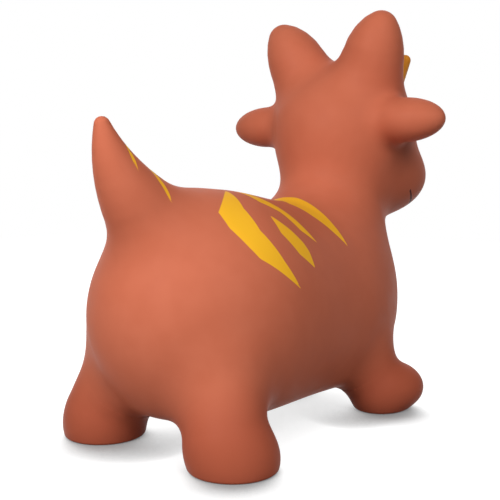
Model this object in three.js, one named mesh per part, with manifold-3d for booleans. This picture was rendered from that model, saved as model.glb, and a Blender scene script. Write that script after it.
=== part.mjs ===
// Bouncy animal hopper: a blown-up ride-on toy of soft vinyl, shaped like a horned animal on four stubby
// legs.
// Millimetres, +Z up. The animal faces -Y and is the same on its left (+X) and right (-X).
//
// The skin is one thin wall round a blend of rounded lobes. It is made in pieces that meet at the places
// where the toy flexes: the legs that squash, the neck that nods, the ears that the rider holds, and the
// tail.

import * as THREE from 'three';
import { mergeVertices } from 'three/addons/utils/BufferGeometryUtils.js';
import Module from 'manifold-3d';

// Skin
const WALL = 2.4;
const SEAM_GAP = 0.3;

// Barrel of the body: rump and chest. Forward and back are measured from the rider's seat.
const RUMP_WIDTH = 253;
const RUMP_LENGTH = 300;
const RUMP_HEIGHT = 276;
const RUMP_BACK = 86;
const RUMP_ABOVE_FLOOR = 141;
const CHEST_WIDTH = 242;
const CHEST_LENGTH = 348;
const CHEST_HEIGHT = 268;
const CHEST_FORWARD = 72;
const CHEST_ABOVE_FLOOR = 129;
const BARREL_BLEND = 56;
const BELLY_CLEARANCE = 30;
const BELLY_EDGE = 24;

// Neck, from its root in the chest
const NECK_ROOT_FORWARD = 68;
const NECK_ROOT_RISE = 61;
const NECK_ROOT_RADIUS = 74;
const NECK_TOP_RADIUS = 71;
const NECK_LENGTH = 119;
const NECK_LEAN = 20;
const NECK_BLEND = 51;
const NECK_SEAM = 52;
const NECK_FLEX = 27;
const NECK_SEAM_LEAN = 23;

// Head, from the top of the neck, and muzzle, from the head's centre
const HEAD_WIDTH = 194;
const HEAD_LENGTH = 195;
const HEAD_HEIGHT = 168;
const HEAD_FORWARD = 14;
const HEAD_RISE = 60;
const HEAD_BLEND = 42;
const MUZZLE_WIDTH = 176;
const MUZZLE_LENGTH = 148;
const MUZZLE_HEIGHT = 119;
const MUZZLE_FORWARD = 63;
const MUZZLE_DROP = 65;

// Two frill lobes on top of the head, from its centre
const FRILL_ROOT_SPREAD = 85;
const FRILL_ROOT_BACK = 13;
const FRILL_ROOT_RISE = 51.5;
const FRILL_ROOT_RADIUS = 51;
const FRILL_TIP_SPREAD = 141;
const FRILL_TIP_BACK = 33;
const FRILL_TIP_RISE = 113;
const FRILL_TIP_RADIUS = 31;
const FRILL_BLEND = 16;
const FRILL_SEAM = 30;

// Two ears at the sides of the head, the rider's handles
const EAR_SPREAD = 212;
const EAR_BACK = 29;
const EAR_RISE = 4.5;
const EAR_LENGTH = 114;
const EAR_DEPTH = 65;
const EAR_HEIGHT = 57;
const EAR_BLEND = 13;
const EAR_SEAM = 3;
const EAR_FLEX = 20;

// Two brow horns
const HORN_ROOT_SPREAD = 86;
const HORN_ROOT_FORWARD = 50;
const HORN_ROOT_RISE = 54;
const HORN_ROOT_RADIUS = 17;
const HORN_TIP_SPREAD = 99;
const HORN_TIP_FORWARD = 84.5;
const HORN_TIP_RISE = 98;
const HORN_TIP_RADIUS = 8;

// Tail, from the rump's centre: a thick root, then a bend, then a blunt tip
const TAIL_ROOT_BACK = 73;
const TAIL_ROOT_RISE = 82;
const TAIL_ROOT_RADIUS = 56;
const TAIL_BEND_BACK = 135.5;
const TAIL_BEND_RISE = 144;
const TAIL_BEND_RADIUS = 25.5;
const TAIL_TIP_BACK = 162;
const TAIL_TIP_RISE = 199;
const TAIL_TIP_RADIUS = 9.5;
const TAIL_BLEND = 31;
const TAIL_TIP_BLEND = 12;
const TAIL_SEAM = 50;
const TAIL_FLEX = 30;

// Legs: the rear pair is placed from the rump's centre, and the front pair from the chest's. Each is a tube
// from its hip down to its ankle, with a rounded foot under it.
const REAR_HIP_SPREAD = 130;
const REAR_HIP_BACK = 65;
const REAR_HIP_HEIGHT = 97;
const REAR_HIP_RADIUS = 43;
const REAR_ANKLE_SPREAD = 178;
const REAR_ANKLE_BACK = 83;
const REAR_ANKLE_HEIGHT = 30;
const REAR_ANKLE_RADIUS = 43.5;
const REAR_FOOT_SPREAD = 190;
const REAR_FOOT_BACK = 78;
const REAR_FOOT_MIDDLE = 11;
const REAR_FOOT_WIDTH = 94;
const REAR_FOOT_DEPTH = 84;
const FRONT_HIP_SPREAD = 143;
const FRONT_HIP_FORWARD = 41;
const FRONT_HIP_HEIGHT = 85;
const FRONT_HIP_RADIUS = 35;
const FRONT_ANKLE_SPREAD = 204;
const FRONT_ANKLE_FORWARD = 47;
const FRONT_ANKLE_HEIGHT = 24;
const FRONT_ANKLE_RADIUS = 38;
const FRONT_FOOT_SPREAD = 215;
const FRONT_FOOT_FORWARD = 66;
const FRONT_FOOT_MIDDLE = 27;
const FRONT_FOOT_WIDTH = 85;
const FRONT_FOOT_DEPTH = 63;
const FOOT_BLEND = 12;
const LEG_BLEND = 28;
const LEG_SEAM = 50;
const LEG_SEAM_MARGIN = 14;
const LEG_SEAM_SIDES = 24;
const FOOT_HEIGHT = 20;
const FOOT_SEAM_MARGIN = 13;
const SOLE_EDGE = 4;

// Air valve under the belly: a moulded seat in the skin and the stopper pushed into it
const VALVE_BACK = 0;
const SEAT_RADIUS = 9;
const SEAT_FLANGE_RADIUS = 15;
const SEAT_FLANGE_THICKNESS = 2;
const SEAT_LENGTH = 22;
const STOPPER_HEAD_RADIUS = 11;
const STOPPER_HEAD_THICKNESS = 3;
const STOPPER_ROOT_RADIUS = 5;
const STOPPER_TIP_RADIUS = 4.4;
const STOPPER_LENGTH = 18;
const VALVE_FIT = 0.3;
const FLANGE_LIFT = 0.8;
const VALVE_SIDES = 24;

// Mesh fineness: the grid that each part of the skin is measured on
const BARREL_CELL = 32;
const HEAD_CELL = 23;
const FRILL_CELL = 15;
const LEG_CELL = 15;
const TAIL_CELL = 7.5;
const EAR_CELL = 14;
const HORN_CELL = 9;
const SMOOTHING_ROUNDS = 4;
const SETTLE_ROUNDS = 3;
const SLOPE_STEP = 0.5;
const SEAM_ROOM = 14;
const HEIGHT_ACCURACY = 0.03;

const wasm = await Module();
wasm.setup();

const UP = new THREE.Vector3(0, 0, 1);
const SIDES = { left: 1, right: -1 };

function at(x, y, z) {
  return new THREE.Vector3(x, y, z);
}

// Rounded lobes. Each gives the distance of a point from its surface, negative inside, and its own box.
function egg(centre, width, length, height) {
  const half = at(width / 2, length / 2, height / 2);
  const q = new THREE.Vector3();
  const distance = (p) => {
    const depth = q.subVectors(p, centre).divide(half).length();
    const slope = q.divide(half).length();
    return slope > 0 ? (depth * (depth - 1)) / slope : -Math.min(half.x, half.y, half.z);
  };
  distance.box = new THREE.Box3(centre.clone().sub(half), centre.clone().add(half));
  return distance;
}

function taper(root, tip, rootRadius, tipRadius) {
  const axis = tip.clone().sub(root);
  const length = axis.length();
  axis.normalize();
  const narrowing = rootRadius - tipRadius;
  const lean = narrowing / Math.sqrt(length ** 2 - narrowing ** 2);
  const q = new THREE.Vector3();
  const distance = (p) => {
    const along = q.subVectors(p, root).dot(axis);
    const off = Math.sqrt(Math.max(q.lengthSq() - along ** 2, 0));
    const share = THREE.MathUtils.clamp((along - off * lean) / length, 0, 1);
    const radius = THREE.MathUtils.lerp(rootRadius, tipRadius, share);
    return Math.hypot(off, along - share * length) - radius;
  };
  distance.box = new THREE.Box3().setFromPoints([root]).expandByScalar(rootRadius);
  distance.box.union(new THREE.Box3().setFromPoints([tip]).expandByScalar(tipRadius));
  distance.root = root;
  distance.axis = axis;
  return distance;
}

// The nearer of two surfaces, with the crease between them filled to a soft hollow.
function blended(a, b, softness) {
  const overlap = Math.max(softness - Math.abs(a - b), 0) / softness;
  return Math.min(a, b) - (overlap ** 2 * softness) / 4;
}

// The part of one surface that is also inside another, with a rounded edge.
function trimmed(a, b, softness) {
  return -blended(-a, -b, softness);
}

const rumpCentre = at(0, RUMP_BACK, RUMP_ABOVE_FLOOR);
const chestCentre = at(0, -CHEST_FORWARD, CHEST_ABOVE_FLOOR);
const rump = egg(rumpCentre, RUMP_WIDTH, RUMP_LENGTH, RUMP_HEIGHT);
const chest = egg(chestCentre, CHEST_WIDTH, CHEST_LENGTH, CHEST_HEIGHT);

function leaning(degrees) {
  return UP.clone().applyAxisAngle(at(1, 0, 0), THREE.MathUtils.degToRad(degrees));
}

const neckRoot = chestCentre.clone().add(at(0, -NECK_ROOT_FORWARD, NECK_ROOT_RISE));
const neckTop = neckRoot.clone().addScaledVector(leaning(NECK_LEAN), NECK_LENGTH);
const neck = taper(neckRoot, neckTop, NECK_ROOT_RADIUS, NECK_TOP_RADIUS);

const headCentre = neckTop.clone().add(at(0, -HEAD_FORWARD, HEAD_RISE));
const head = egg(headCentre, HEAD_WIDTH, HEAD_LENGTH, HEAD_HEIGHT);
const muzzleCentre = headCentre.clone().add(at(0, -MUZZLE_FORWARD, -MUZZLE_DROP));
const muzzle = egg(muzzleCentre, MUZZLE_WIDTH, MUZZLE_LENGTH, MUZZLE_HEIGHT);

function frillLobe(side) {
  const root = at((side * FRILL_ROOT_SPREAD) / 2, FRILL_ROOT_BACK, FRILL_ROOT_RISE);
  const tip = at((side * FRILL_TIP_SPREAD) / 2, FRILL_TIP_BACK, FRILL_TIP_RISE);
  return taper(root.add(headCentre), tip.add(headCentre), FRILL_ROOT_RADIUS, FRILL_TIP_RADIUS);
}

function earLobe(side) {
  const centre = at((side * EAR_SPREAD) / 2, EAR_BACK, EAR_RISE).add(headCentre);
  return egg(centre, EAR_LENGTH, EAR_DEPTH, EAR_HEIGHT);
}

function hornLobe(side) {
  const root = at((side * HORN_ROOT_SPREAD) / 2, -HORN_ROOT_FORWARD, HORN_ROOT_RISE);
  const tip = at((side * HORN_TIP_SPREAD) / 2, -HORN_TIP_FORWARD, HORN_TIP_RISE);
  return taper(root.add(headCentre), tip.add(headCentre), HORN_ROOT_RADIUS, HORN_TIP_RADIUS);
}

const tailRoot = rumpCentre.clone().add(at(0, TAIL_ROOT_BACK, TAIL_ROOT_RISE));
const tailBend = rumpCentre.clone().add(at(0, TAIL_BEND_BACK, TAIL_BEND_RISE));
const tailTip = rumpCentre.clone().add(at(0, TAIL_TIP_BACK, TAIL_TIP_RISE));
const tailBase = taper(tailRoot, tailBend, TAIL_ROOT_RADIUS, TAIL_BEND_RADIUS);
const tailEnd = taper(tailBend, tailTip, TAIL_BEND_RADIUS, TAIL_TIP_RADIUS);

// A leg with its foot. Its middle line runs up to the hip from between the ankle and the foot.
function limb(tube, foot, hip, footCentre) {
  const distance = (p) => blended(tube(p), foot(p), FOOT_BLEND);
  distance.box = tube.box.clone().union(foot.box);
  distance.root = tube.root.clone().add(footCentre).divideScalar(2).setZ(tube.root.z);
  distance.axis = hip.clone().sub(distance.root).normalize();
  return distance;
}

function rearLeg(side) {
  const hip = at((side * REAR_HIP_SPREAD) / 2, rumpCentre.y + REAR_HIP_BACK, REAR_HIP_HEIGHT);
  const ankleBack = rumpCentre.y + REAR_ANKLE_BACK;
  const ankle = at((side * REAR_ANKLE_SPREAD) / 2, ankleBack, REAR_ANKLE_HEIGHT);
  const footBack = rumpCentre.y + REAR_FOOT_BACK;
  const footCentre = at((side * REAR_FOOT_SPREAD) / 2, footBack, REAR_FOOT_MIDDLE);
  const tube = taper(ankle, hip, REAR_ANKLE_RADIUS, REAR_HIP_RADIUS);
  const foot = egg(footCentre, REAR_FOOT_WIDTH, REAR_FOOT_WIDTH, REAR_FOOT_DEPTH);
  return limb(tube, foot, hip, footCentre);
}

function frontLeg(side) {
  const hip = at((side * FRONT_HIP_SPREAD) / 2, chestCentre.y - FRONT_HIP_FORWARD, FRONT_HIP_HEIGHT);
  const ankleBack = chestCentre.y - FRONT_ANKLE_FORWARD;
  const ankle = at((side * FRONT_ANKLE_SPREAD) / 2, ankleBack, FRONT_ANKLE_HEIGHT);
  const footBack = chestCentre.y - FRONT_FOOT_FORWARD;
  const footCentre = at((side * FRONT_FOOT_SPREAD) / 2, footBack, FRONT_FOOT_MIDDLE);
  const tube = taper(ankle, hip, FRONT_ANKLE_RADIUS, FRONT_HIP_RADIUS);
  const foot = egg(footCentre, FRONT_FOOT_WIDTH, FRONT_FOOT_WIDTH, FRONT_FOOT_DEPTH);
  return limb(tube, foot, hip, footCentre);
}

const both = (make) => [make(SIDES.left), make(SIDES.right)];
const addedLobes = [
  [[neck], NECK_BLEND],
  [[head, muzzle], HEAD_BLEND],
  [both(frillLobe), FRILL_BLEND],
  [both(earLobe), EAR_BLEND],
  [[tailBase], TAIL_BLEND],
  [[tailEnd], TAIL_TIP_BLEND],
  [[...both(rearLeg), ...both(frontLeg)], LEG_BLEND],
];

// Distance from the outside of the whole skin.
function skin(p) {
  const barrel = blended(rump(p), chest(p), BARREL_BLEND);
  let distance = trimmed(barrel, BELLY_CLEARANCE - p.z, BELLY_EDGE);
  for (const [lobes, softness] of addedLobes) {
    for (const lobe of lobes) distance = blended(distance, lobe(p), softness);
  }
  return trimmed(distance, -p.z, SOLE_EDGE);
}

// Moves a point straight onto a surface that is less than a cell away.
function settle(p, surface, cell) {
  const slope = new THREE.Vector3();
  const probe = new THREE.Vector3();
  const axes = ['x', 'y', 'z'];
  for (let round = 0; round < SETTLE_ROUNDS; round++) {
    const distance = surface(p);
    if (Math.abs(distance) > cell) return;
    for (const axis of axes) {
      probe.copy(p)[axis] += SLOPE_STEP;
      slope[axis] = (surface(probe) - distance) / SLOPE_STEP;
    }
    p.addScaledVector(slope, -distance / slope.lengthSq());
  }
}

// A closed mesh of a surface inside a box: one vertex in each grid cell that the surface crosses, and one
// four-sided face round each grid edge that it crosses. The mesh is closed off at the sides of the box.
function meshed(surface, box, cell) {
  const size = box.getSize(new THREE.Vector3());
  const counts = size.toArray().map((length) => Math.ceil(length / cell) + 3);
  const middle = box.getCenter(new THREE.Vector3()).toArray();
  const low = middle.map((mid, a) => mid - ((counts[a] - 1) * cell) / 2);
  const stride = [counts[1] * counts[2], counts[2], 1];
  const place = (index) => stride.map((step, a) => Math.floor(index / step) % counts[a]);
  const corner = (ijk) => at(...ijk.map((n, a) => low[a] + n * cell));
  const total = counts[0] * counts[1] * counts[2];

  const distances = new Float32Array(total);
  for (let index = 0; index < total; index++) {
    const ijk = place(index);
    const border = ijk.some((n, a) => n === 0 || n === counts[a] - 1);
    distances[index] = border ? cell : surface(corner(ijk));
  }

  const points = [];
  const pointOfCell = new Int32Array(total).fill(-1);
  const cellCorners = [];
  for (let n = 0; n < 8; n++) cellCorners.push([n & 1, (n >> 1) & 1, (n >> 2) & 1]);
  for (let index = 0; index < total; index++) {
    const ijk = place(index);
    if (ijk.some((n, a) => n === counts[a] - 1)) continue;
    const sum = new THREE.Vector3();
    let crossings = 0;
    for (const offset of cellCorners) {
      const start = index + offset.reduce((reach, n, a) => reach + n * stride[a], 0);
      for (let a = 0; a < 3; a++) {
        if (offset[a] === 1) continue;
        const end = start + stride[a];
        if (distances[start] < 0 === distances[end] < 0) continue;
        const share = distances[start] / (distances[start] - distances[end]);
        sum.add(corner(place(start)).lerp(corner(place(end)), share));
        crossings++;
      }
    }
    if (crossings === 0) continue;
    pointOfCell[index] = points.length;
    points.push(sum.divideScalar(crossings));
  }

  const quads = [];
  for (let index = 0; index < total; index++) {
    for (let a = 0; a < 3; a++) {
      const next = index + stride[a];
      if (place(index)[a] === counts[a] - 1 || distances[index] < 0 === distances[next] < 0) continue;
      const u = stride[(a + 1) % 3];
      const w = stride[(a + 2) % 3];
      const quad = [index - u - w, index - w, index, index - u].map((cellIndex) => pointOfCell[cellIndex]);
      quads.push(distances[index] < 0 ? quad : quad.reverse());
    }
  }

  for (const p of points) settle(p, surface, cell);
  for (let round = 0; round < SMOOTHING_ROUNDS; round++) evenOut(points, quads, surface, cell);
  return { points, triangles: quads.flatMap((quad) => splitAcross(quad, points)), cell };
}

// A four-sided face as two triangles, split along its shorter diagonal.
function splitAcross([a, b, c, d], points) {
  const shortWay = points[a].distanceTo(points[c]) <= points[b].distanceTo(points[d]);
  return shortWay ? [a, b, c, a, c, d] : [a, b, d, b, c, d];
}

// The skin's mesh with each vertex moved to a distance from the skin's outside, negative inwards.
function movedBy({ points, triangles, cell }, offset) {
  const moved = points.map((p) => p.clone());
  for (const p of moved) settle(p, (q) => skin(q) - offset, cell);
  return { points: moved, triangles, cell };
}

// Spreads the vertices evenly over the surface: each goes to the middle of its neighbours and back onto it.
function evenOut(points, quads, surface, cell) {
  const sums = points.map(() => new THREE.Vector3());
  const neighbours = new Array(points.length).fill(0);
  for (const quad of quads) {
    quad.forEach((vertex, n) => {
      for (const turn of [1, 3]) sums[vertex].add(points[quad[(n + turn) % 4]]);
      neighbours[vertex] += 2;
    });
  }
  points.forEach((p, n) => {
    p.copy(sums[n].divideScalar(neighbours[n]));
    settle(p, surface, cell);
  });
}

function solidOfMesh({ points, triangles }) {
  const vertProperties = new Float32Array(points.flatMap((p) => p.toArray()));
  const triVerts = new Uint32Array(triangles);
  return new wasm.Manifold(new wasm.Mesh({ numProp: 3, vertProperties, triVerts }));
}

function solidOf(geometry) {
  geometry.deleteAttribute('normal');
  geometry.deleteAttribute('uv');
  const merged = mergeVertices(geometry);
  const vertProperties = merged.attributes.position.array;
  const triVerts = new Uint32Array(merged.index.array);
  return new wasm.Manifold(new wasm.Mesh({ numProp: 3, vertProperties, triVerts }));
}

// The box of some lobes, with room to spare for the cuts at the seams.
function roomRound(lobes, cell) {
  const box = new THREE.Box3();
  for (const lobe of lobes) box.union(lobe.box);
  return box.expandByScalar(2 * cell + SEAM_ROOM);
}

// The wall of the skin round some of its lobes.
function wallRound(lobes, cell) {
  const outside = meshed(skin, roomRound(lobes, cell), cell);
  return solidOfMesh(outside).subtract(solidOfMesh(movedBy(outside, -WALL)));
}

// Everything beyond a flat seam: a block that starts at a point and reaches along a direction.
function beyond(point, direction, halfWidth, reach, grow) {
  const width = 2 * (halfWidth + grow);
  const block = new THREE.BoxGeometry(width, width, reach + 2 * grow);
  block.translate(0, 0, reach / 2);
  block.applyQuaternion(new THREE.Quaternion().setFromUnitVectors(UP, direction));
  return solidOf(block.translate(point.x, point.y, point.z));
}

function lobeSeam(lobe, along, halfWidth, grow) {
  const point = lobe.root.clone().addScaledVector(lobe.axis, along);
  return beyond(point, lobe.axis, halfWidth, halfWidth * 2, grow);
}

function neckSeam(along, grow) {
  const point = neckRoot.clone().addScaledVector(neck.axis, along);
  const halfWidth = Math.max(MUZZLE_LENGTH, EAR_SPREAD / 2 + EAR_LENGTH);
  const reach = HEAD_RISE + HEAD_HEIGHT + FRILL_TIP_RISE + FRILL_TIP_RADIUS;
  return beyond(point, leaning(NECK_SEAM_LEAN), halfWidth, reach, grow);
}

function earSeam(side, along, grow) {
  const point = at(side * (HEAD_WIDTH / 2 + along), EAR_BACK, EAR_RISE).add(headCentre);
  const halfWidth = Math.max(EAR_DEPTH, EAR_HEIGHT) / 2 + EAR_BLEND;
  return beyond(point, at(side, 0, 0), halfWidth, EAR_LENGTH, grow);
}

// A round sleeve about an axis, from below the floor up to a height along it from the ankle.
function sleeve(leg, axis, radius, height) {
  const below = radius + leg.root.z;
  const tube = new THREE.CylinderGeometry(radius, radius, below + height, LEG_SEAM_SIDES);
  tube.translate(0, (height - below) / 2, 0);
  tube.applyQuaternion(new THREE.Quaternion().setFromUnitVectors(at(0, 1, 0), axis));
  return solidOf(tube.translate(...leg.root.toArray()));
}

function legSeam(leg, footRadius, grow) {
  return sleeve(leg, leg.axis, footRadius + LEG_SEAM_MARGIN + grow, LEG_SEAM + grow);
}

function footSeam(leg, footRadius, grow) {
  return sleeve(leg, UP, footRadius + FOOT_SEAM_MARGIN + grow, FOOT_HEIGHT - leg.root.z + grow);
}

// Materials
const vinyl = new THREE.MeshStandardMaterial({ color: 0xc4694d, roughness: 0.6, metalness: 0 });
const hornPaint = new THREE.MeshStandardMaterial({ color: 0xe09a3a, roughness: 0.55, metalness: 0 });
const valvePlastic = new THREE.MeshStandardMaterial({ color: 0xe8e4da, roughness: 0.45, metalness: 0 });

const hopper = new THREE.Group();

function addPiece(name, solid, material) {
  const { numProp, numVert, vertProperties, triVerts } = solid.getMesh();
  const positions = new Float32Array(numVert * 3);
  for (let n = 0; n < numVert; n++) {
    positions.set(vertProperties.subarray(n * numProp, n * numProp + 3), n * 3);
  }
  const geometry = new THREE.BufferGeometry();
  geometry.setAttribute('position', new THREE.BufferAttribute(positions, 3));
  geometry.setIndex(new THREE.BufferAttribute(triVerts, 1));
  const piece = new THREE.Mesh(geometry, material);
  piece.name = name;
  hopper.add(piece);
  return piece;
}

// The right-hand piece of a pair is the left-hand one mirrored.
function addPair(name, solid, material) {
  addPiece(name + '_left', solid, material);
  addPiece(name + '_right', solid, material).scale.x = -1;
}

// Legs: a leg tube that squashes and a foot with a flat sole, at each corner
const legs = [
  ['rear', rearLeg, REAR_FOOT_WIDTH / 2],
  ['front', frontLeg, FRONT_FOOT_WIDTH / 2],
];
for (const [end, make, footRadius] of legs) {
  const leg = make(SIDES.left);
  const legWall = wallRound([leg], LEG_CELL).intersect(legSeam(leg, footRadius, 0));
  addPair('leg_' + end, legWall.subtract(footSeam(leg, footRadius, SEAM_GAP)), vinyl);
  addPair('foot_' + end, legWall.intersect(footSeam(leg, footRadius, 0)), vinyl);
}

// Tail
const tailHalfWidth = TAIL_ROOT_RADIUS + TAIL_BLEND;
const tailSeam = (along, grow) => lobeSeam(tailBase, along, tailHalfWidth, grow);
const tailWall = wallRound([tailBase, tailEnd], TAIL_CELL).intersect(tailSeam(TAIL_SEAM, 0));
addPiece('tail_root', tailWall.subtract(tailSeam(TAIL_SEAM + TAIL_FLEX, SEAM_GAP)), vinyl);
addPiece('tail', tailWall.intersect(tailSeam(TAIL_SEAM + TAIL_FLEX, 0)), vinyl);

// Ears, frill and horns, left-hand ones of each pair
const earWall = wallRound([earLobe(SIDES.left)], EAR_CELL).intersect(earSeam(SIDES.left, EAR_SEAM, 0));
addPair('ear_root', earWall.subtract(earSeam(SIDES.left, EAR_SEAM + EAR_FLEX, SEAM_GAP)), vinyl);
addPair('ear', earWall.intersect(earSeam(SIDES.left, EAR_SEAM + EAR_FLEX, 0)), vinyl);

const frillHalfWidth = FRILL_ROOT_RADIUS + FRILL_BLEND;
const frillSeam = (side, grow) => lobeSeam(frillLobe(side), FRILL_SEAM, frillHalfWidth, grow);
const frillWall = wallRound([frillLobe(SIDES.left)], FRILL_CELL);
addPair('frill', frillWall.intersect(frillSeam(SIDES.left, 0)), vinyl);

// Neck and head
const headLobes = [neck, head, muzzle, ...both(frillLobe)];
const headWall = wallRound(headLobes, HEAD_CELL).intersect(neckSeam(NECK_SEAM, 0));
addPiece('neck', headWall.subtract(neckSeam(NECK_SEAM + NECK_FLEX, SEAM_GAP)), vinyl);
let headPiece = headWall.intersect(neckSeam(NECK_SEAM + NECK_FLEX, 0));
for (const side of Object.values(SIDES)) {
  headPiece = headPiece.subtract(earSeam(side, EAR_SEAM, SEAM_GAP));
  headPiece = headPiece.subtract(frillSeam(side, SEAM_GAP));
}
addPiece('head', headPiece, vinyl);

// Horns: solid cones that sit on the brow
const horn = hornLobe(SIDES.left);
const hornCone = solidOfMesh(meshed(horn, roomRound([horn], HORN_CELL), HORN_CELL));
const brow = meshed(skin, roomRound(headLobes, HEAD_CELL), HEAD_CELL);
addPair('horn', hornCone.subtract(solidOfMesh(movedBy(brow, SEAM_GAP))), hornPaint);

// Torso: the barrel's wall less what belongs to the neck, the tail, the legs and the valve
let torso = wallRound([rump, chest], BARREL_CELL).subtract(neckSeam(NECK_SEAM, SEAM_GAP));
torso = torso.subtract(tailSeam(TAIL_SEAM, SEAM_GAP));
for (const [, make, footRadius] of legs) {
  for (const leg of both(make)) torso = torso.subtract(legSeam(leg, footRadius, SEAM_GAP));
}

// Height of the belly's outside above the floor, at the valve
function bellyHeight() {
  let inside = CHEST_ABOVE_FLOOR;
  let outside = 0;
  while (inside - outside > HEIGHT_ACCURACY) {
    const middle = (inside + outside) / 2;
    if (skin(at(0, VALVE_BACK, middle)) < 0) inside = middle;
    else outside = middle;
  }
  return outside;
}

function turned(profile) {
  const points = profile.map(([radius, height]) => new THREE.Vector2(radius, height));
  const geometry = new THREE.LatheGeometry(points, VALVE_SIDES);
  geometry.rotateX(Math.PI / 2);
  return solidOf(geometry.translate(0, VALVE_BACK, bellyHeight()));
}

const boreRadius = STOPPER_ROOT_RADIUS + VALVE_FIT;
const flangeLow = WALL + FLANGE_LIFT;
const flangeHigh = flangeLow + SEAT_FLANGE_THICKNESS;
const seat = turned([
  [boreRadius, 0],
  [SEAT_RADIUS, 0],
  [SEAT_RADIUS, flangeLow],
  [SEAT_FLANGE_RADIUS, flangeLow],
  [SEAT_FLANGE_RADIUS, flangeHigh],
  [SEAT_RADIUS, flangeHigh],
  [SEAT_RADIUS, SEAT_LENGTH],
  [boreRadius, SEAT_LENGTH],
  [boreRadius, 0],
]);
const stopperTop = -VALVE_FIT;
const stopper = turned([
  [0, stopperTop - STOPPER_HEAD_THICKNESS],
  [STOPPER_HEAD_RADIUS, stopperTop - STOPPER_HEAD_THICKNESS],
  [STOPPER_HEAD_RADIUS, stopperTop],
  [STOPPER_ROOT_RADIUS, stopperTop],
  [STOPPER_TIP_RADIUS, STOPPER_LENGTH],
  [0, STOPPER_LENGTH],
]);
const seatHole = turned([
  [0, -WALL],
  [SEAT_RADIUS + VALVE_FIT, -WALL],
  [SEAT_RADIUS + VALVE_FIT, flangeLow - VALVE_FIT],
  [SEAT_FLANGE_RADIUS + VALVE_FIT, flangeLow - VALVE_FIT],
  [SEAT_FLANGE_RADIUS + VALVE_FIT, SEAT_LENGTH],
  [0, SEAT_LENGTH],
]);
addPiece('torso', torso.subtract(seatHole), vinyl);
addPiece('valve_seat', seat, valvePlastic);
addPiece('valve_stopper', stopper, valvePlastic);

// The origin is on the floor, under the middle of the toy.
const extent = new THREE.Box3().setFromObject(hopper);
hopper.position.y = -(extent.min.y + extent.max.y) / 2;

export default hopper;
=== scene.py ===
"""Looks of the bouncy animal hopper: its soft vinyl skin, painted stripes and face, horns and air valve."""

import math

import bpy
import numpy as np
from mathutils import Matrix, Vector


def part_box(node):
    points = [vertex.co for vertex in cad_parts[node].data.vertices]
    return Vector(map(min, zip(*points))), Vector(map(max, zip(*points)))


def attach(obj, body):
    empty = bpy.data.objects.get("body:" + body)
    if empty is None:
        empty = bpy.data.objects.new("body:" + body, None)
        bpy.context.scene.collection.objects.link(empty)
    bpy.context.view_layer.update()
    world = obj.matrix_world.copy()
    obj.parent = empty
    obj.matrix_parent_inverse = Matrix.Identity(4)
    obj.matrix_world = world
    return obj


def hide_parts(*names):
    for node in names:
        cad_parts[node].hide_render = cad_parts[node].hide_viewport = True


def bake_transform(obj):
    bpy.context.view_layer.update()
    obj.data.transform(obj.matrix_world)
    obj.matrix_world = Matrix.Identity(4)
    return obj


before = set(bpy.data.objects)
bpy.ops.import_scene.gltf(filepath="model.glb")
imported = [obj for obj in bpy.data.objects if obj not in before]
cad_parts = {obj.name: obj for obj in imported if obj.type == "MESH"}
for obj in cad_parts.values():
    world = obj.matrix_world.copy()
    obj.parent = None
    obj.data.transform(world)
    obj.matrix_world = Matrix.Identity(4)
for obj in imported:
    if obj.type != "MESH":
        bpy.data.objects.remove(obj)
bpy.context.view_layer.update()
bpy.ops.object.select_all(action="DESELECT")

MM = 0.001

# The skin is shaped in millimetres from the point on the floor under the rider's seat, where the valve is.
valve_low, valve_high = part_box("valve_seat")
SEAT_POINT = np.array([0, (valve_low.y + valve_high.y) / 2, 0])
VALVE_HEIGHT = valve_low.z / MM

# Fineness of the modelled meshes
SKIN_VOXEL = 3.5
LEG_VOXEL = 2.3
HORN_VOXEL = 1.6
EGG_SEGMENTS = 64
EGG_RINGS = 32
TAPER_SEGMENTS = 48
TAPER_RINGS = 24
TURNED_SIDES = 64
MERGE_DISTANCE = 0.01
SMOOTHING_ROUNDS = 4
SMOOTHING_PASSES = 2
SMOOTHING_FACTOR = 0.5
SETTLE_ROUNDS = 3
SLOPE_STEP = 0.4
LEAST_SQUARED_SLOPE = 0.05
TINY = 1e-9


def in_scene(point):
    """A place on the toy, in the frame and in metres."""
    return Vector(SEAT_POINT + np.array(point) * MM)


def on_toy(places):
    """Places in the frame, as millimetres from the seat point."""
    return (places - SEAT_POINT) / MM


# Modelling helpers


def alone(piece):
    bpy.ops.object.select_all(action="DESELECT")
    piece.select_set(True)
    bpy.context.view_layer.objects.active = piece
    return piece


def joined(pieces):
    bpy.ops.object.select_all(action="DESELECT")
    for piece in pieces:
        piece.select_set(True)
    bpy.context.view_layer.objects.active = pieces[0]
    bpy.ops.object.join()
    bpy.ops.object.transform_apply(location=True, rotation=True, scale=True)
    return bpy.context.object


def copied(piece, name):
    twin = piece.copy()
    twin.data = piece.data.copy()
    twin.name = twin.data.name = name
    bpy.context.scene.collection.objects.link(twin)
    return twin


def apply_modifier(piece, kind, **settings):
    alone(piece)
    modifier = piece.modifiers.new(kind.lower(), kind)
    for setting, value in settings.items():
        setattr(modifier, setting, value)
    bpy.ops.object.modifier_apply(modifier=modifier.name)


def places_of(piece):
    places = np.empty(len(piece.data.vertices) * 3)
    piece.data.vertices.foreach_get("co", places)
    return places.reshape(-1, 3)


def put_places(piece, places):
    piece.data.vertices.foreach_set("co", places.ravel())
    piece.data.update()


# Rounded lobes that the skin blends together


def blended(a, b, softness):
    """The nearer of two surfaces, with the crease between them filled to a soft hollow."""
    if softness == 0:
        return np.minimum(a, b)
    overlap = np.maximum(softness - np.abs(a - b), 0) / softness
    return np.minimum(a, b) - overlap**2 * softness / 4


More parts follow.
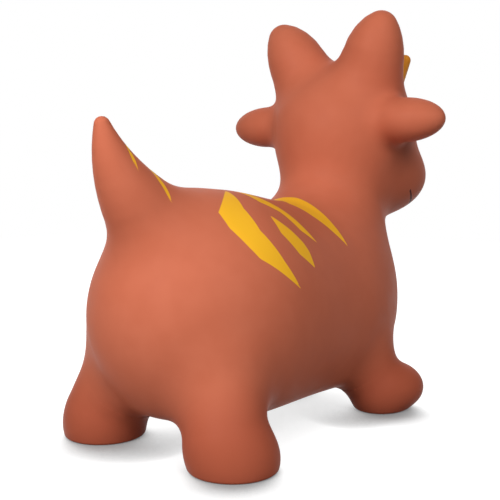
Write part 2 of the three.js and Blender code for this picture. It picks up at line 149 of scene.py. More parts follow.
class Egg:
    """An egg-shaped lobe, from its centre and its sizes along the frame's axes."""

    def __init__(self, centre, size):
        self.centre = np.array(centre, float)
        self.half = np.array(size, float) / 2

    def distance(self, points):
        q = (points - self.centre) / self.half
        depth = np.linalg.norm(q, axis=1)
        slope = np.maximum(np.linalg.norm(q / self.half, axis=1), TINY)
        return depth * (depth - 1) / slope

    def low(self):
        return self.centre - self.half

    def high(self):
        return self.centre + self.half

    def mirrored(self):
        return Egg(self.centre * (-1, 1, 1), self.half * 2)

    def add(self):
        bpy.ops.mesh.primitive_uv_sphere_add(
            segments=EGG_SEGMENTS,
            ring_count=EGG_RINGS,
            radius=1,
            location=in_scene(self.centre),
            scale=self.half * MM,
        )
        return bpy.context.object


class Taper:
    """A lobe that narrows or widens straight from a ball at its root to a ball at its tip."""

    def __init__(self, root, tip, root_radius, tip_radius):
        self.root = np.array(root, float)
        self.tip = np.array(tip, float)
        self.root_radius = root_radius
        self.tip_radius = tip_radius
        self.length = np.linalg.norm(self.tip - self.root)
        self.axis = (self.tip - self.root) / self.length

    def distance(self, points):
        narrowing = self.root_radius - self.tip_radius
        lean = narrowing / math.sqrt(self.length**2 - narrowing**2)
        q = points - self.root
        along = q @ self.axis
        off = np.sqrt(np.maximum((q**2).sum(1) - along**2, 0))
        share = np.clip((along - off * lean) / self.length, 0, 1)
        radius = self.root_radius - narrowing * share
        return np.hypot(off, along - share * self.length) - radius

    def low(self):
        return np.minimum(self.root - self.root_radius, self.tip - self.tip_radius)

    def high(self):
        return np.maximum(self.root + self.root_radius, self.tip + self.tip_radius)

    def along(self, length):
        return self.root + self.axis * length

    def mirrored(self):
        flip = np.array((-1, 1, 1))
        return Taper(self.root * flip, self.tip * flip, self.root_radius, self.tip_radius)

    def add(self):
        balls = []
        for centre, radius in ((self.root, self.root_radius), (self.tip, self.tip_radius)):
            bpy.ops.mesh.primitive_uv_sphere_add(
                segments=TAPER_SEGMENTS,
                ring_count=TAPER_RINGS,
                radius=radius * MM,
                location=in_scene(centre),
            )
            balls.append(bpy.context.object)
        lobe = joined(balls)
        bpy.ops.object.mode_set(mode="EDIT")
        bpy.ops.mesh.select_all(action="SELECT")
        bpy.ops.mesh.convex_hull()
        bpy.ops.object.mode_set(mode="OBJECT")
        return lobe


CHAIN_NEARBY = 60


class Chain:
    """Lobes in a row that run into each other. Far from them, the distance is only a rough one."""

    def __init__(self, softness, *lobes):
        self.softness = softness
        self.lobes = lobes
        low = np.min([lobe.low() for lobe in lobes], axis=0)
        high = np.max([lobe.high() for lobe in lobes], axis=0)
        self.middle = (low + high) / 2
        self.reach = np.linalg.norm(high - low) / 2

    def distance(self, points):
        distance = np.linalg.norm(points - self.middle, axis=1) - self.reach
        near = distance < CHAIN_NEARBY
        close = self.lobes[0].distance(points[near])
        for lobe in self.lobes[1:]:
            close = blended(close, lobe.distance(points[near]), self.softness)
        distance[near] = close
        return distance

    def mirrored(self):
        return Chain(self.softness, *[lobe.mirrored() for lobe in self.lobes])

    def add(self):
        return joined([lobe.add() for lobe in self.lobes])


def curved(steps, root, bend, tip):
    """A lobe along a smooth curve from its root past a bend to its tip, each a place and a radius."""
    share = np.linspace(0, 1, steps + 1)[:, None]
    to_bend = np.array(root) * (1 - share) + np.array(bend) * share
    from_bend = np.array(bend) * (1 - share) + np.array(tip) * share
    spine = to_bend * (1 - share) + from_bend * share
    return Chain(0, *[Taper(a[:3], b[:3], a[3], b[3]) for a, b in zip(spine, spine[1:])])


RUMP = Egg(centre=(0, 86, 141), size=(253, 300, 276))
CHEST = Egg(centre=(0, -72, 129), size=(242, 348, 268))
NECK = Taper(root=(0, -140, 190), tip=(0, -180.7, 301.8), root_radius=74, tip_radius=71)
CRANIUM = Egg(centre=(0, -194.7, 361.8), size=(194, 195, 168))
MUZZLE = Egg(centre=(0, -257.7, 296.8), size=(176, 148, 119))
FRILL = curved(
    steps=9,
    root=(47.5, -187, 397, 26),
    bend=(52, -170.5, 445, 58),
    tip=(76, -159.5, 484.5, 22),
)
EAR = Egg(centre=(106, -165.7, 366.3), size=(114, 65, 57))
HORN = Taper(root=(43, -244.7, 415.8), tip=(49.5, -279.2, 459.8), root_radius=17, tip_radius=8)
TAIL = curved(steps=12, root=(0, 142, 216, 56), bend=(0, 231, 273.5, 31), tip=(0, 247, 342, 8))
ANKLE_BLEND = 12
REAR_LEG = Chain(
    ANKLE_BLEND,
    Taper(root=(65, 151, 97), tip=(89, 169, 30), root_radius=43, tip_radius=43.5),
    Egg(centre=(95, 164, 11), size=(94, 94, 84)),
)
FRONT_LEG = Chain(
    ANKLE_BLEND,
    Taper(root=(71.5, -113, 85), tip=(102, -119, 24), root_radius=35, tip_radius=38),
    Egg(centre=(107.5, -138, 27), size=(85, 85, 63)),
)

# How softly each lobe runs into the ones before it
BARREL_BLEND = 56
NECK_BLEND = 51
HEAD_BLEND = 42
FRILL_BLEND = 33
EAR_BLEND = 17
TAIL_BLEND = 34
LEG_BLEND = 28
SOLE_EDGE = 3
BELLY_CLEARANCE = 30
BELLY_EDGE = 24


def both(lobe):
    return [lobe, lobe.mirrored()]


LEGS = {
    "rear_left": REAR_LEG,
    "rear_right": REAR_LEG.mirrored(),
    "front_left": FRONT_LEG,
    "front_right": FRONT_LEG.mirrored(),
}
UPPER_LOBES = [
    (NECK, NECK_BLEND),
    (CRANIUM, HEAD_BLEND),
    (MUZZLE, HEAD_BLEND),
    *[(lobe, FRILL_BLEND) for lobe in both(FRILL)],
    *[(lobe, EAR_BLEND) for lobe in both(EAR)],
    (TAIL, TAIL_BLEND),
]


def eased(value, low, high):
    share = np.clip((value - low) / (high - low), 0, 1)
    return share * share * (3 - 2 * share)


def upper_body(points):
    """Distance from the skin without its legs."""
    barrel = blended(RUMP.distance(points), CHEST.distance(points), BARREL_BLEND)
    distance = -blended(-barrel, points[:, 2] - BELLY_CLEARANCE, BELLY_EDGE)
    for lobe, softness in UPPER_LOBES:
        distance = blended(distance, lobe.distance(points), softness)
    return distance


def on_floor(distance, points):
    """A surface cut flat where it stands on the floor."""
    return -blended(-distance, points[:, 2], SOLE_EDGE)


def with_legs(body, points):
    distance = body
    for leg in LEGS.values():
        distance = blended(distance, leg.distance(points), LEG_BLEND)
    return on_floor(distance, points)


def skin(points):
    """Distance from the whole skin."""
    return with_legs(upper_body(points), points)


# Each leg is a piece of its own that stands in a socket of the body's skin. The two meet at the socket's
# end on the same surface, so that no seam shows. Before it the leg draws in to its own tube, and past it
# the body's rim tucks in under the leg's skin.
SOCKET_START = 8
SOCKET_END = 18
SOCKET_RIM = 26
RIM_TUCK = 8
SOCKET_LOW_HEIGHT = 50
SOCKET_LOW_RAISE = 0.5


def socket_place(body, points):
    """How far a point is down a leg's socket: its distance from the body, more near the floor."""
    return body + SOCKET_LOW_RAISE * np.maximum(SOCKET_LOW_HEIGHT - points[:, 2], 0)


def leg_surface(leg):
    def surface(points):
        body = upper_body(points)
        tube = on_floor(leg.distance(points), points)
        outside = eased(socket_place(body, points), SOCKET_START, SOCKET_END)
        return tube + (with_legs(body, points) - tube) * outside

    return surface


# The horns' roots run out over the brow as a thin rim.
HORN_ROOT_BLEND = 9
HORN_RIM_PROUD = 0.5
HORN_RIM_REACH = 3.5


def horn_surface(horn):
    def surface(points):
        cone = horn.distance(points)
        rim = np.maximum(upper_body(points) - HORN_RIM_PROUD, cone - HORN_RIM_REACH)
        return blended(cone, rim, HORN_ROOT_BLEND)

    return surface


def slope_of(surface, points, distance):
    steps = np.eye(3) * SLOPE_STEP
    return np.stack([(surface(points + step) - distance) / SLOPE_STEP for step in steps], axis=1)


def normals_of(surface, points):
    """The way out of a surface at some points, of length 1."""
    slope = slope_of(surface, points, surface(points))
    return slope / np.maximum(np.linalg.norm(slope, axis=1), TINY)[:, None]


def settle(piece, surface):
    """Moves the piece's vertices straight onto a surface of the toy."""
    points = on_toy(places_of(piece))
    for _ in range(SETTLE_ROUNDS):
        distance = surface(points)
        slope = slope_of(surface, points, distance)
        points -= slope * (distance / np.maximum((slope**2).sum(1), LEAST_SQUARED_SLOPE))[:, None]
    put_places(piece, SEAT_POINT + points * MM)


def blown_up(lobes, voxel, surface, name):
    """One smooth closed skin over some lobes: they are joined, remeshed and drawn onto a blended surface."""
    piece = joined([lobe.add() for lobe in lobes])
    piece.name = piece.data.name = name
    apply_modifier(piece, "REMESH", mode="VOXEL", voxel_size=voxel * MM)
    settle(piece, surface)
    for _ in range(SMOOTHING_ROUNDS):
        apply_modifier(piece, "SMOOTH", factor=SMOOTHING_FACTOR, iterations=SMOOTHING_PASSES)
        settle(piece, surface)
    return piece


def cut(piece, point, direction, keep):
    """Cuts a piece flat through a point and closes the cut. Keeps what is beyond it, or before it."""
    alone(piece)
    bpy.ops.object.mode_set(mode="EDIT")
    bpy.ops.mesh.select_all(action="SELECT")
    bpy.ops.mesh.bisect(
        plane_co=in_scene(point),
        plane_no=direction,
        use_fill=True,
        clear_inner=keep == "beyond",
        clear_outer=keep == "before",
    )
    bpy.ops.object.mode_set(mode="OBJECT")


def select_only(piece, elements, mode, chosen):
    """Selects some of a piece's vertices or faces, and leaves it in edit mode."""
    alone(piece)
    bpy.ops.object.mode_set(mode="EDIT")
    bpy.ops.mesh.select_mode(type=mode)
    bpy.ops.mesh.select_all(action="DESELECT")
    bpy.ops.object.mode_set(mode="OBJECT")
    elements.foreach_set("select", chosen)
    bpy.ops.object.mode_set(mode="EDIT")


def drop_faces(piece, vertices_gone):
    """Deletes the faces whose corners are all marked, and closes the holes that they leave."""
    faces = piece.data.polygons
    gone = np.array([all(vertices_gone[v] for v in face.vertices) for face in faces])
    select_only(piece, faces, "FACE", gone)
    bpy.ops.mesh.delete(type="FACE")
    bpy.ops.mesh.select_mode(type="VERT")
    bpy.ops.mesh.select_all(action="SELECT")
    bpy.ops.mesh.fill_holes(sides=0)
    bpy.ops.object.mode_set(mode="OBJECT")


def tuck_in(body):
    """Turns the rims of the body's sockets in, under the legs' skin."""
    points = on_toy(places_of(body))
    tuck = RIM_TUCK * eased(socket_place(upper_body(points), points), SOCKET_END, SOCKET_RIM)
    put_places(body, SEAT_POINT + (points - normals_of(skin, points) * tuck[:, None]) * MM)


def turned(profile, name, solid):
    """A round piece drawn up ring by ring from its profile of radii and heights: solid, or a closed ring."""
    radius, height = profile[0]
    bpy.ops.object.select_all(action="DESELECT")
    bpy.ops.mesh.primitive_circle_add(
        vertices=TURNED_SIDES,
        radius=radius * MM,
        fill_type="NGON" if solid else "NOTHING",
        location=in_scene((0, 0, VALVE_HEIGHT + height)),
    )
    piece = bpy.context.object
    piece.name = piece.data.name = name
    bpy.ops.object.transform_apply(location=True, rotation=True, scale=True)
    bpy.ops.object.mode_set(mode="EDIT")
    bpy.ops.mesh.select_all(action="SELECT")
    for next_radius, next_height in profile[1:]:
        rise = Vector((0, 0, (next_height - height) * MM))
        bpy.ops.mesh.extrude_region_move(TRANSFORM_OT_translate={"value": rise})
        size = next_radius / radius
        bpy.ops.transform.resize(value=(size, size, 1), center_override=in_scene((0, 0, VALVE_HEIGHT)))
        radius, height = next_radius, next_height
    bpy.ops.mesh.select_all(action="SELECT")
    bpy.ops.mesh.remove_doubles(threshold=MERGE_DISTANCE * MM)
    bpy.ops.mesh.normals_make_consistent(inside=False)
    bpy.ops.object.mode_set(mode="OBJECT")
    return piece


# Painted stripes. A stripe's outline is drawn on the unrolled body: millimetres back from the seat point,
# and degrees round the body from the middle of its back.
GIRTH_HEIGHT = 145
GIRTH_RADIUS = 125
RUMP_STRIPE = [
    (87, 9), (144, 28), (145, 38), (137, 51), (131, 58), (102, 70),
    (86, 76), (100, 62), (112, 44), (108, 29), (98, 20),
]
SEAT_STRIPE = [(68, 7), (67, 24), (49, 32), (39, 45), (18, 53), (27, 42), (34, 32), (43, 23), (52, 12)]
FLANK_STRIPE = [(79, 35), (83, 47), (69, 59), (48, 67), (47, 58), (50, 53), (61, 45)]
SHOULDER_STRIPE = [
    (-63, -10), (-65, 5), (-58, 23), (-53, 39), (-50, 56), (-38, 45), (-26, 31), (-21, 15), (-42, 0),
]
BODY_STRIPES = [RUMP_STRIPE, SEAT_STRIPE, FLANK_STRIPE, SHOULDER_STRIPE]
# On the tail: millimetres up it from inside the rump, and degrees round it from its front
TAIL_STRIPE_ROOT = np.array([0, 166, 223])
TAIL_LEAN = 33
TAIL_GIRTH_RADIUS = 28
TAIL_STRIPES = [
    [(92, 111), (100, 108), (109, 101), (119, 85), (127, 68), (115, 78), (104, 93)],
    [(47, 89), (60, 83), (73, 73), (87, 55), (96, 37), (80, 49), (66, 66)],
]


def depth_in(outline, u, v):
    """Depth of points inside a closed outline on a flat sheet, negative outside."""
    inside = np.zeros(len(u), bool)
    nearest = np.full(len(u), np.inf)
    for (u0, v0), (u1, v1) in zip(outline, outline[1:] + outline[:1]):
        du, dv = u1 - u0, v1 - v0
        share = np.clip(((u - u0) * du + (v - v0) * dv) / (du * du + dv * dv), 0, 1)
        nearest = np.minimum(nearest, np.hypot(u - u0 - share * du, v - v0 - share * dv))
        crosses = (v0 > v) != (v1 > v)
        side = u0 + (v - v0) * du / (dv if dv else TINY)
        inside ^= crosses & (u < side)
    return np.where(inside, nearest, -nearest)


def stripe_depth(points):
    """Depth of the skin's points inside the nearest stripe, in millimetres, on both sides of the animal."""
    lean = math.radians(TAIL_LEAN)
    tail_way = np.array([0, math.sin(lean), math.cos(lean)])
    tail_front = np.array([0, -math.cos(lean), math.sin(lean)])
    from_root = points - TAIL_STRIPE_ROOT
    on_tail = from_root @ tail_way > 0
    best = np.full(len(points), -np.inf)
    for side in (1, -1):
        round_body = np.arctan2(side * points[:, 0], points[:, 2] - GIRTH_HEIGHT) * GIRTH_RADIUS
        for outline in BODY_STRIPES:
            unrolled = [(back, math.radians(turn) * GIRTH_RADIUS) for back, turn in outline]
            best = np.maximum(best, depth_in(unrolled, points[:, 1], round_body))
        round_tail = np.arctan2(side * points[:, 0], from_root @ tail_front) * TAIL_GIRTH_RADIUS
        for outline in TAIL_STRIPES:
            unrolled = [(up, math.radians(turn) * TAIL_GIRTH_RADIUS) for up, turn in outline]
            depth = depth_in(unrolled, from_root @ tail_way, round_tail)
            best = np.where(on_tail, np.maximum(best, depth), best)
    return best


# Painted shade: the feet are painted darker than the rest, and less so up the legs.
FOOT_SHADE_START = 2
FOOT_SHADE_END = 48


def painted_foot_shade(points):
    """How much painted shade darkens the skin: 1 on the feet, and less and less up the legs."""
    from_foot = np.min([leg.lobes[-1].distance(points) for leg in LEGS.values()], axis=0)
    return 1 - eased(from_foot, FOOT_SHADE_START, FOOT_SHADE_END)


def paint(piece, material):
    """Gives a piece its material and the places that its paint, its painted shade on the feet and its grain
    follow.
    """
    points = on_toy(places_of(piece))
    mesh = piece.data
    place = mesh.attributes.new("rest_place", "FLOAT_VECTOR", "POINT")
    place.data.foreach_set("vector", points.astype(np.float32).ravel())
    # Stored per point: the stripes' depth, and how much painted shade falls on the feet.
    for name, values in (("stripe_depth", stripe_depth(points)), ("painted_foot_shade", painted_foot_shade(points))):
        attribute = mesh.attributes.new(name, "FLOAT", "POINT")
        attribute.data.foreach_set("value", values.astype(np.float32))
    mesh.materials.clear()
    mesh.materials.append(material)


def finish_skin(piece, surface, material):
    """Gives a piece of skin its paint, and smooth shading that runs on into its neighbours."""
    mesh = piece.data
    mesh.polygons.foreach_set("use_smooth", np.ones(len(mesh.polygons), bool))
    mesh.normals_split_custom_set_from_vertices(normals_of(surface, on_toy(places_of(piece))))
    paint(piece, material)


# Materials


def srgb(red, green, blue):
    """A colour as it is seen on a screen, in the numbers that a shader takes."""
    shares = [value / 255 for value in (red, green, blue)]
    return (*[s / 12.92 if s <= 0.04045 else ((s + 0.055) / 1.055) ** 2.4 for s in shares], 1)


TERRACOTTA = srgb(198, 104, 76)
TERRACOTTA_PALE = srgb(202, 108, 80)
# Painted shade: the terracotta darkened for the feet and lower legs.
TERRACOTTA_FOOT_SHADE = srgb(178, 88, 63)
STRIPE_YELLOW = srgb(253, 184, 44)
HORN_AMBER = srgb(232, 142, 44)
HORN_AMBER_PALE = srgb(238, 152, 54)
EYE_WHITE = srgb(238, 232, 220)
EYE_DARK = srgb(46, 28, 24)
MOUTH_DARK = srgb(78, 34, 26)
VALVE_IVORY = srgb(228, 222, 208)
VALVE_IVORY_PALE = srgb(236, 231, 220)


def new_group(name, inputs, outputs):
    """An empty shader group with named sockets."""
    tree = bpy.data.node_groups.new(name, "ShaderNodeTree")
    for socket, kind in inputs:
        tree.interface.new_socket(socket, in_out="INPUT", socket_type=kind)
    for socket, kind in outputs:
        tree.interface.new_socket(socket, in_out="OUTPUT", socket_type=kind)
    start = tree.nodes.new("NodeGroupInput")
    end = tree.nodes.new("NodeGroupOutput")
    return tree, start, end


def fill_socket(tree, socket, value):
    if isinstance(value, bpy.types.NodeSocket):
        tree.links.new(value, socket)
    else:
        socket.default_value = value


def add_node(tree, kind, settings=None, **values):
    """A node with some settings and the values of some of its inputs, or what is linked to them."""
    node = tree.nodes.new(kind)
    for setting, value in (settings or {}).items():
        setattr(node, setting, value)
    for name, value in values.items():
        fill_socket(tree, node.inputs[name.replace("_", " ")], value)
    return node


def math_node(tree, operation, first, second=0.0):
    node = add_node(tree, "ShaderNodeMath", {"operation": operation})
    fill_socket(tree, node.inputs[0], first)
    fill_socket(tree, node.inputs[1], second)
    return node.outputs[0]


def vector_math(tree, operation, first, second=(0, 0, 0)):
    node = add_node(tree, "ShaderNodeVectorMath", {"operation": operation})
    fill_socket(tree, node.inputs[0], first)
    fill_socket(tree, node.inputs[1], second)
    return node


# A mix node's sockets for colours
MIX_SHARE = 0
MIX_FIRST = 6
MIX_SECOND = 7
MIX_RESULT = 2


def mix_colour(tree, share, first, second):
    node = add_node(tree, "ShaderNodeMix", {"data_type": "RGBA"})
    for place, value in ((MIX_SHARE, share), (MIX_FIRST, first), (MIX_SECOND, second)):
        fill_socket(tree, node.inputs[place], value)
    return node.outputs[MIX_RESULT]


def ramp(tree, value, low, high, to_low=0.0, to_high=1.0):
    node = add_node(tree, "ShaderNodeMapRange", {"interpolation_type": "SMOOTHSTEP"}, Value=value)
    for socket, number in zip(("From Min", "From Max", "To Min", "To Max"), (low, high, to_low, to_high)):
        node.inputs[socket].default_value = number
    return node.outputs["Result"]


# Moulded vinyl: its noises' scales are given per millimetre, its grain's depth in metres.
CLOUD_NOISE = {"Scale": 0.011, "Detail": 3.0, "Roughness": 0.55}
CLOUD_SHARE = 0.7
SMEAR_NOISE = {"Scale": 0.045, "Detail": 2.0, "Roughness": 0.5}
SMEAR_SHARE = 0.3
SMEAR_LOW = 0.3
SMEAR_HIGH = 0.7
TINT_LOW = 0.36
TINT_HIGH = 0.64
GRAIN_NOISE = {"Scale": 0.9, "Detail": 2.0, "Roughness": 0.6}
GRAIN_DEPTH = 0.0006
GRAIN_STRENGTH = 0.06
SMOOTH_ROUGHNESS = 0.42
DULL_ROUGHNESS = 0.5
VINYL_SPECULAR = 0.035


def moulded_vinyl_group():
    """The cloudy tint, the uneven gloss and the fine grain of soft vinyl, from places in millimetres."""
    tree, start, end = new_group(
        "moulded_vinyl",
        [("Place", "NodeSocketVector")],
        [("Cloud", "NodeSocketFloat"), ("Roughness", "NodeSocketFloat"), ("Height", "NodeSocketFloat")],
    )
    place = start.outputs["Place"]
    cloud, smear, grain = [
        add_node(tree, "ShaderNodeTexNoise", Vector=place, **noise).outputs["Fac"]
        for noise in (CLOUD_NOISE, SMEAR_NOISE, GRAIN_NOISE)
    ]
    broad = math_node(tree, "MULTIPLY", cloud, CLOUD_SHARE)
    narrow = math_node(tree, "MULTIPLY", smear, SMEAR_SHARE)
    tint = math_node(tree, "ADD", broad, narrow)
    gloss = ramp(tree, smear, SMEAR_LOW, SMEAR_HIGH, SMOOTH_ROUGHNESS, DULL_ROUGHNESS)
    tree.links.new(ramp(tree, tint, TINT_LOW, TINT_HIGH), end.inputs["Cloud"])
    tree.links.new(gloss, end.inputs["Roughness"])
    tree.links.new(grain, end.inputs["Height"])
    return tree


# Where an oval's paint starts to thin out, as a share of its half size
OVAL_FULL = 0.95


def painted_oval_group():
    """The mask of an oval of paint, from its centre and half sizes in millimetres."""
    tree, start, end = new_group(
        "painted_oval",
        [("Place", "NodeSocketVector"), ("Centre", "NodeSocketVector"), ("Half Size", "NodeSocketVector")],
        [("Mask", "NodeSocketFloat")],
    )
    offset = vector_math(tree, "SUBTRACT", start.outputs["Place"], start.outputs["Centre"]).outputs[0]
    scaled = vector_math(tree, "DIVIDE", offset, start.outputs["Half Size"]).outputs[0]
    reach = vector_math(tree, "LENGTH", scaled).outputs["Value"]
    tree.links.new(ramp(tree, reach, OVAL_FULL, 1.0, 1.0, 0.0), end.inputs["Mask"])
    return tree


def seen_directly(tree):
    """1 where the white round the toy is seen by the camera, in a reflection or through glass."""
    path = tree.nodes.new("ShaderNodeLightPath").outputs
    reflected = math_node(tree, "MAXIMUM", path["Is Glossy Ray"], path["Is Transmission Ray"])
    return math_node(tree, "MAXIMUM", path["Is Camera Ray"], reflected)


moulded_vinyl = moulded_vinyl_group()
painted_oval = painted_oval_group()


def vinyl_material(name):
    """A material with the moulded vinyl's gloss and grain, and its tree, shader, place and cloud."""
    material = bpy.data.materials.new(name)
    material.use_nodes = True
    tree = material.node_tree
    shader = tree.nodes["Principled BSDF"]
    shader.inputs["Specular IOR Level"].default_value = VINYL_SPECULAR
    place = add_node(tree, "ShaderNodeAttribute", {"attribute_name": "rest_place"}).outputs["Vector"]
    vinyl = add_node(tree, "ShaderNodeGroup", {"node_tree": moulded_vinyl}, Place=place)
    grain = vinyl.outputs["Height"]
    bump = add_node(tree, "ShaderNodeBump", Strength=GRAIN_STRENGTH, Distance=GRAIN_DEPTH, Height=grain)
    tree.links.new(vinyl.outputs["Roughness"], shader.inputs["Roughness"])
    tree.links.new(bump.outputs["Normal"], shader.inputs["Normal"])
    return material, tree, shader, place, vinyl.outputs["Cloud"]


STRIPE_EDGE = 0.5


def striped_colour(tree, cloud):
    """Terracotta vinyl, darker on the feet from painted shade, with yellow paint inside the stripes'
    outlines.
    """
    vinyl = mix_colour(tree, cloud, TERRACOTTA, TERRACOTTA_PALE)
    # Painted shade darkens the feet and the lower legs.
    foot_shade_share = add_node(tree, "ShaderNodeAttribute", {"attribute_name": "painted_foot_shade"}).outputs["Fac"]
    vinyl = mix_colour(tree, foot_shade_share, vinyl, TERRACOTTA_FOOT_SHADE)
    depth = add_node(tree, "ShaderNodeAttribute", {"attribute_name": "stripe_depth"}).outputs["Fac"]
    return mix_colour(tree, ramp(tree, depth, -STRIPE_EDGE, STRIPE_EDGE), vinyl, STRIPE_YELLOW)


def striped_vinyl():
    material, tree, shader, _, cloud = vinyl_material("striped_vinyl")
    tree.links.new(striped_colour(tree, cloud), shader.inputs["Base Color"])
    return material


# The painted face, in millimetres from the seat point, on the animal's left half
EYE_CENTRE = (48, -280, 366)
EYE_HALF_SIZE = (17, 34, 20)
PUPIL_CENTRE = (46, -284, 364)
PUPIL_HALF_SIZE = (11, 30, 14)
GLINT_CENTRE = (49, -286, 371)
GLINT_HALF_SIZE = (3.6, 30, 4.2)
NOSTRIL_CENTRE = (24, -327, 312)
NOSTRIL_HALF_SIZE = (7, 12, 5)
MOUTH_HEIGHT = 252
MOUTH_CORNER_RISE = 25
MOUTH_TURN = -300
MOUTH_CORNER = -236
MOUTH_HALF_WIDTH = 1.2
MOUTH_EDGE = 0.6


def painted_vinyl_face():
    """The head's vinyl, with eyes, nostrils and a mouth line that run alike on both halves of the face."""
    material, tree, shader, place, cloud = vinyl_material("face_vinyl")
    parts = add_node(tree, "ShaderNodeSeparateXYZ", Vector=place).outputs
    aside = math_node(tree, "ABSOLUTE", parts["X"])
    half_face = add_node(tree, "ShaderNodeCombineXYZ", X=aside, Y=parts["Y"], Z=parts["Z"]).outputs[0]

    def oval(centre, half_size):
        node = add_node(tree, "ShaderNodeGroup", {"node_tree": painted_oval}, Place=half_face, Centre=centre)
        node.inputs["Half Size"].default_value = half_size
        return node.outputs["Mask"]

    corner_way = math_node(tree, "SUBTRACT", parts["Y"], MOUTH_TURN)
    reach = math_node(tree, "MAXIMUM", math_node(tree, "DIVIDE", corner_way, MOUTH_CORNER - MOUTH_TURN), 0.0)
    rise = math_node(tree, "MULTIPLY", math_node(tree, "POWER", reach, 2.0), MOUTH_CORNER_RISE)
    lip_line = math_node(tree, "ADD", rise, MOUTH_HEIGHT)
    from_line = math_node(tree, "ABSOLUTE", math_node(tree, "SUBTRACT", parts["Z"], lip_line))
    on_line = ramp(tree, from_line, MOUTH_HALF_WIDTH, MOUTH_HALF_WIDTH + MOUTH_EDGE, 1.0, 0.0)
    in_front = ramp(tree, parts["Y"], MOUTH_CORNER - MOUTH_EDGE, MOUTH_CORNER, 1.0, 0.0)
    mouth = math_node(tree, "MULTIPLY", on_line, in_front)

    colour = striped_colour(tree, cloud)
    colour = mix_colour(tree, oval(EYE_CENTRE, EYE_HALF_SIZE), colour, EYE_WHITE)
    colour = mix_colour(tree, oval(PUPIL_CENTRE, PUPIL_HALF_SIZE), colour, EYE_DARK)
    colour = mix_colour(tree, oval(GLINT_CENTRE, GLINT_HALF_SIZE), colour, EYE_WHITE)
    colour = mix_colour(tree, oval(NOSTRIL_CENTRE, NOSTRIL_HALF_SIZE), colour, MOUTH_DARK)
    colour = mix_colour(tree, mouth, colour, MOUTH_DARK)
    tree.links.new(colour, shader.inputs["Base Color"])
    return material


def plain_vinyl(name, colour, pale_colour):
    material, tree, shader, _, cloud = vinyl_material(name)
    tree.links.new(mix_colour(tree, cloud, colour, pale_colour), shader.inputs["Base Color"])
    return material


body_paint = striped_vinyl()
face_paint = painted_vinyl_face()
horn_paint = plain_vinyl("horn_paint", HORN_AMBER, HORN_AMBER_PALE)
valve_plastic = plain_vinyl("valve_plastic", VALVE_IVORY, VALVE_IVORY_PALE)

# The whole skin, then its pieces. The places of the cuts follow the places where the toy flexes.
NECK_CUT_ALONG = 52
NECK_CUT_POINT = NECK.along(NECK_CUT_ALONG)
NECK_CUT_LEAN = math.radians(23)
NECK_CUT_WAY = np.array([0, -math.sin(NECK_CUT_LEAN), math.cos(NECK_CUT_LEAN)])
EAR_CUT = 100
TAIL_CUT_POINT = np.array([0, 194.5, 258])
TAIL_CUT_WAY = np.array([0, 0.74, 0.67])
VALVE_POCKET_RADIUS = 8
VALVE_POCKET_HEIGHT = 60
VALVE_POCKET_DEPTH = 24
SIDES = {"left": 1, "right": -1}

lobes = [RUMP, CHEST, *[lobe for lobe, _ in UPPER_LOBES], *LEGS.values()]
torso = blown_up(lobes, SKIN_VOXEL, skin, "torso_skin")
head = copied(torso, "head_skin")
tail = copied(torso, "tail_skin")

cut(head, NECK_CUT_POINT, NECK_CUT_WAY, keep="beyond")
cut(tail, TAIL_CUT_POINT, TAIL_CUT_WAY, keep="beyond")
cut(torso, NECK_CUT_POINT, NECK_CUT_WAY, keep="before")
cut(torso, TAIL_CUT_POINT, TAIL_CUT_WAY, keep="before")
whole = on_toy(places_of(torso))
drop_faces(torso, socket_place(upper_body(whole), whole) > SOCKET_RIM)
tuck_in(torso)

ears = {}
for side, reach in SIDES.items():
    ear_cut_point = (reach * EAR_CUT, 0, 0)
    ears[side] = copied(head, "ear_skin_" + side)
    cut(ears[side], ear_cut_point, (reach, 0, 0), keep="beyond")
    cut(head, ear_cut_point, (reach, 0, 0), keep="before")

# A pocket in the belly's skin takes the valve.
belly = on_toy(places_of(torso))
round_valve = np.hypot(belly[:, 0], belly[:, 1]) < VALVE_POCKET_RADIUS
select_only(torso, torso.data.vertices, "VERT", round_valve & (belly[:, 2] < VALVE_POCKET_HEIGHT))
bpy.ops.transform.translate(value=(0, 0, VALVE_POCKET_DEPTH * MM))
bpy.ops.object.mode_set(mode="OBJECT")

for piece, material in ((torso, body_paint), (tail, body_paint), (head, face_paint)):
    finish_skin(piece, skin, material)
for piece in ears.values():
    finish_skin(piece, skin, body_paint)

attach(torso, "torso")
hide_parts("torso")
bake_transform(head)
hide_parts("neck", "head", "frill_left", "frill_right")
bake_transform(tail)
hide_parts("tail_root", "tail")
for side, reach in SIDES.items():
    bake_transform(ears[side])
    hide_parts("ear_root_" + side, "ear_" + side)

for corner, leg in LEGS.items():
    piece = blown_up([leg], LEG_VOXEL, leg_surface(leg), "leg_skin_" + corner)
    finish_skin(piece, leg_surface(leg), body_paint)
    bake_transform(piece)
    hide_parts("leg_" + corner, "foot_" + corner)

# Horns
for side, horn in (("left", HORN), ("right", HORN.mirrored())):
    piece = blown_up([horn], HORN_VOXEL, horn_surface(horn), "horn_" + side + "_skin")
    finish_skin(piece, horn_surface(horn), horn_paint)
    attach(piece, "head")
    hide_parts("horn_" + side)

# Air valve: profiles of radius and of height above the lower face of its seat
SEAT_PROFILE = [
    (5.6, -0.25), (12.2, -0.25), (12.5, 0.05), (12.5, 2), (9, 2),
    (9, 22), (5.3, 22), (5.3, 0.1), (5.6, -0.25),
]
STOPPER_PROFILE = [
    (6.4, -2.4), (7.0, -3.1), (7.6, -3.3), (10.1, -3.3), (10.8, -2.9), (11, -2.2),
    (11, -0.9), (10.6, -0.45), (5.0, -0.4), (5.0, 0.4), (4.4, 17.2), (3.6, 18),
]
SMOOTH_ANGLE = math.radians(40)

for node, name, profile, solid, body in (
    ("valve_seat", "valve_seat_ring", SEAT_PROFILE, False, "torso"),
    ("valve_stopper", "valve_stopper_plug", STOPPER_PROFILE, True, "stopper"),
):
    piece = turned(profile, name, solid)
    bpy.ops.object.shade_smooth_by_angle(angle=SMOOTH_ANGLE)
    paint(piece, valve_plastic)
    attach(piece, body)
    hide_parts(node)

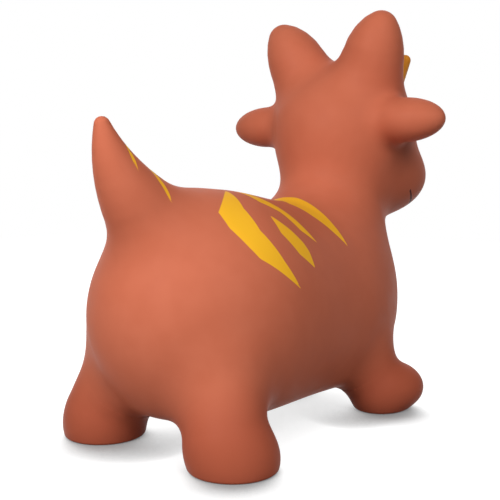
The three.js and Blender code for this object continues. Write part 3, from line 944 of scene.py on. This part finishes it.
# Stage: a white floor that darkens softly at the feet
WHITE = (1, 1, 1, 1)
FLOOR_SIZE = 6
FLOOR_GREY = (0.3, 0.3, 0.3, 1)
FLOOR_ROUGHNESS = 0.9
SHADOW_REACH = 0.07
SHADOW_WAY = (0.7, -0.71, 0)
SHADOW_GLOW = 0.1
SHADOW_SAMPLES = 24
SHADED_OPENNESS = 0.5
LIT_OPENNESS = 0.88


def white_floor():
    """White, and darker where something stands close by on the side that SHADOW_WAY points to."""
    material = bpy.data.materials.new("white_floor")
    material.use_nodes = True
    tree = material.node_tree
    shader = tree.nodes["Principled BSDF"]
    x, y, z = SHADOW_WAY
    openness = add_node(
        tree,
        "ShaderNodeAmbientOcclusion",
        {"samples": SHADOW_SAMPLES},
        Distance=SHADOW_REACH,
        Normal=add_node(tree, "ShaderNodeCombineXYZ", X=x, Y=y, Z=z).outputs[0],
    )
    shade = ramp(tree, openness.outputs["AO"], SHADED_OPENNESS, LIT_OPENNESS, SHADOW_GLOW, 1.0)
    glow = math_node(tree, "MULTIPLY", seen_directly(tree), shade)
    shader.inputs["Base Color"].default_value = FLOOR_GREY
    shader.inputs["Roughness"].default_value = FLOOR_ROUGHNESS
    shader.inputs["Specular IOR Level"].default_value = 0.0
    shader.inputs["Emission Color"].default_value = WHITE
    tree.links.new(glow, shader.inputs["Emission Strength"])
    return material


bpy.ops.object.select_all(action="DESELECT")
bpy.ops.mesh.primitive_plane_add(size=FLOOR_SIZE, location=(0, 0, 0))
floor = bpy.context.object
floor.name = "floor"
floor.data.materials.append(white_floor())

# Light of a studio
AMBIENT = 0.05
scene = bpy.context.scene
scene.view_settings.view_transform = "Standard"
scene.world = bpy.data.worlds.new("studio")
scene.world.use_nodes = True
sky = scene.world.node_tree
background = sky.nodes["Background"]
background.inputs["Color"].default_value = WHITE
sky.links.new(ramp(sky, seen_directly(sky), 0, 1, AMBIENT, 1.0), background.inputs["Strength"])

LAMP_WHITE = (0.93, 0.99, 1.0)
LIT_POINT = Vector((0, 0.02, 0.25))


def area_lamp(name, place, size, power, glares=True):
    lamp = bpy.data.lights.new(name, "AREA")
    lamp.size = size
    lamp.energy = power
    lamp.color = LAMP_WHITE
    holder = bpy.data.objects.new(name, lamp)
    scene.collection.objects.link(holder)
    holder.visible_glossy = glares
    holder.location = place
    holder.rotation_euler = (LIT_POINT - Vector(place)).to_track_quat("-Z", "Y").to_euler()


area_lamp("key_lamp", (-0.1, 1.37, 0.93), size=0.6, power=15)
area_lamp("side_lamp", (-1.15, 0.6, 1.05), size=0.6, power=8.5)
area_lamp("low_lamp", (-0.7, 1.22, 0.76), size=0.5, power=3)
area_lamp("left_lamp", (1.77, -0.62, 0.93), size=1.2, power=9, glares=False)
area_lamp("front_lamp", (0.6, -1.5, 1.2), size=1.2, power=14, glares=False)

# Camera at the photograph's viewing angle
CAMERA_PLACE = (-593, 775, 285)
CAMERA_TURN = 218
CAMERA_TILT = 4.7
CAMERA_LENS = 58.0
SENSOR_WIDTH = 36
camera_data = bpy.data.cameras.new("camera")
camera_data.lens = CAMERA_LENS
camera_data.sensor_width = SENSOR_WIDTH
camera = bpy.data.objects.new("camera", camera_data)
scene.collection.objects.link(camera)
camera.location = in_scene(CAMERA_PLACE)
camera.rotation_euler = (math.radians(90 - CAMERA_TILT), 0, math.radians(CAMERA_TURN))
scene.camera = camera
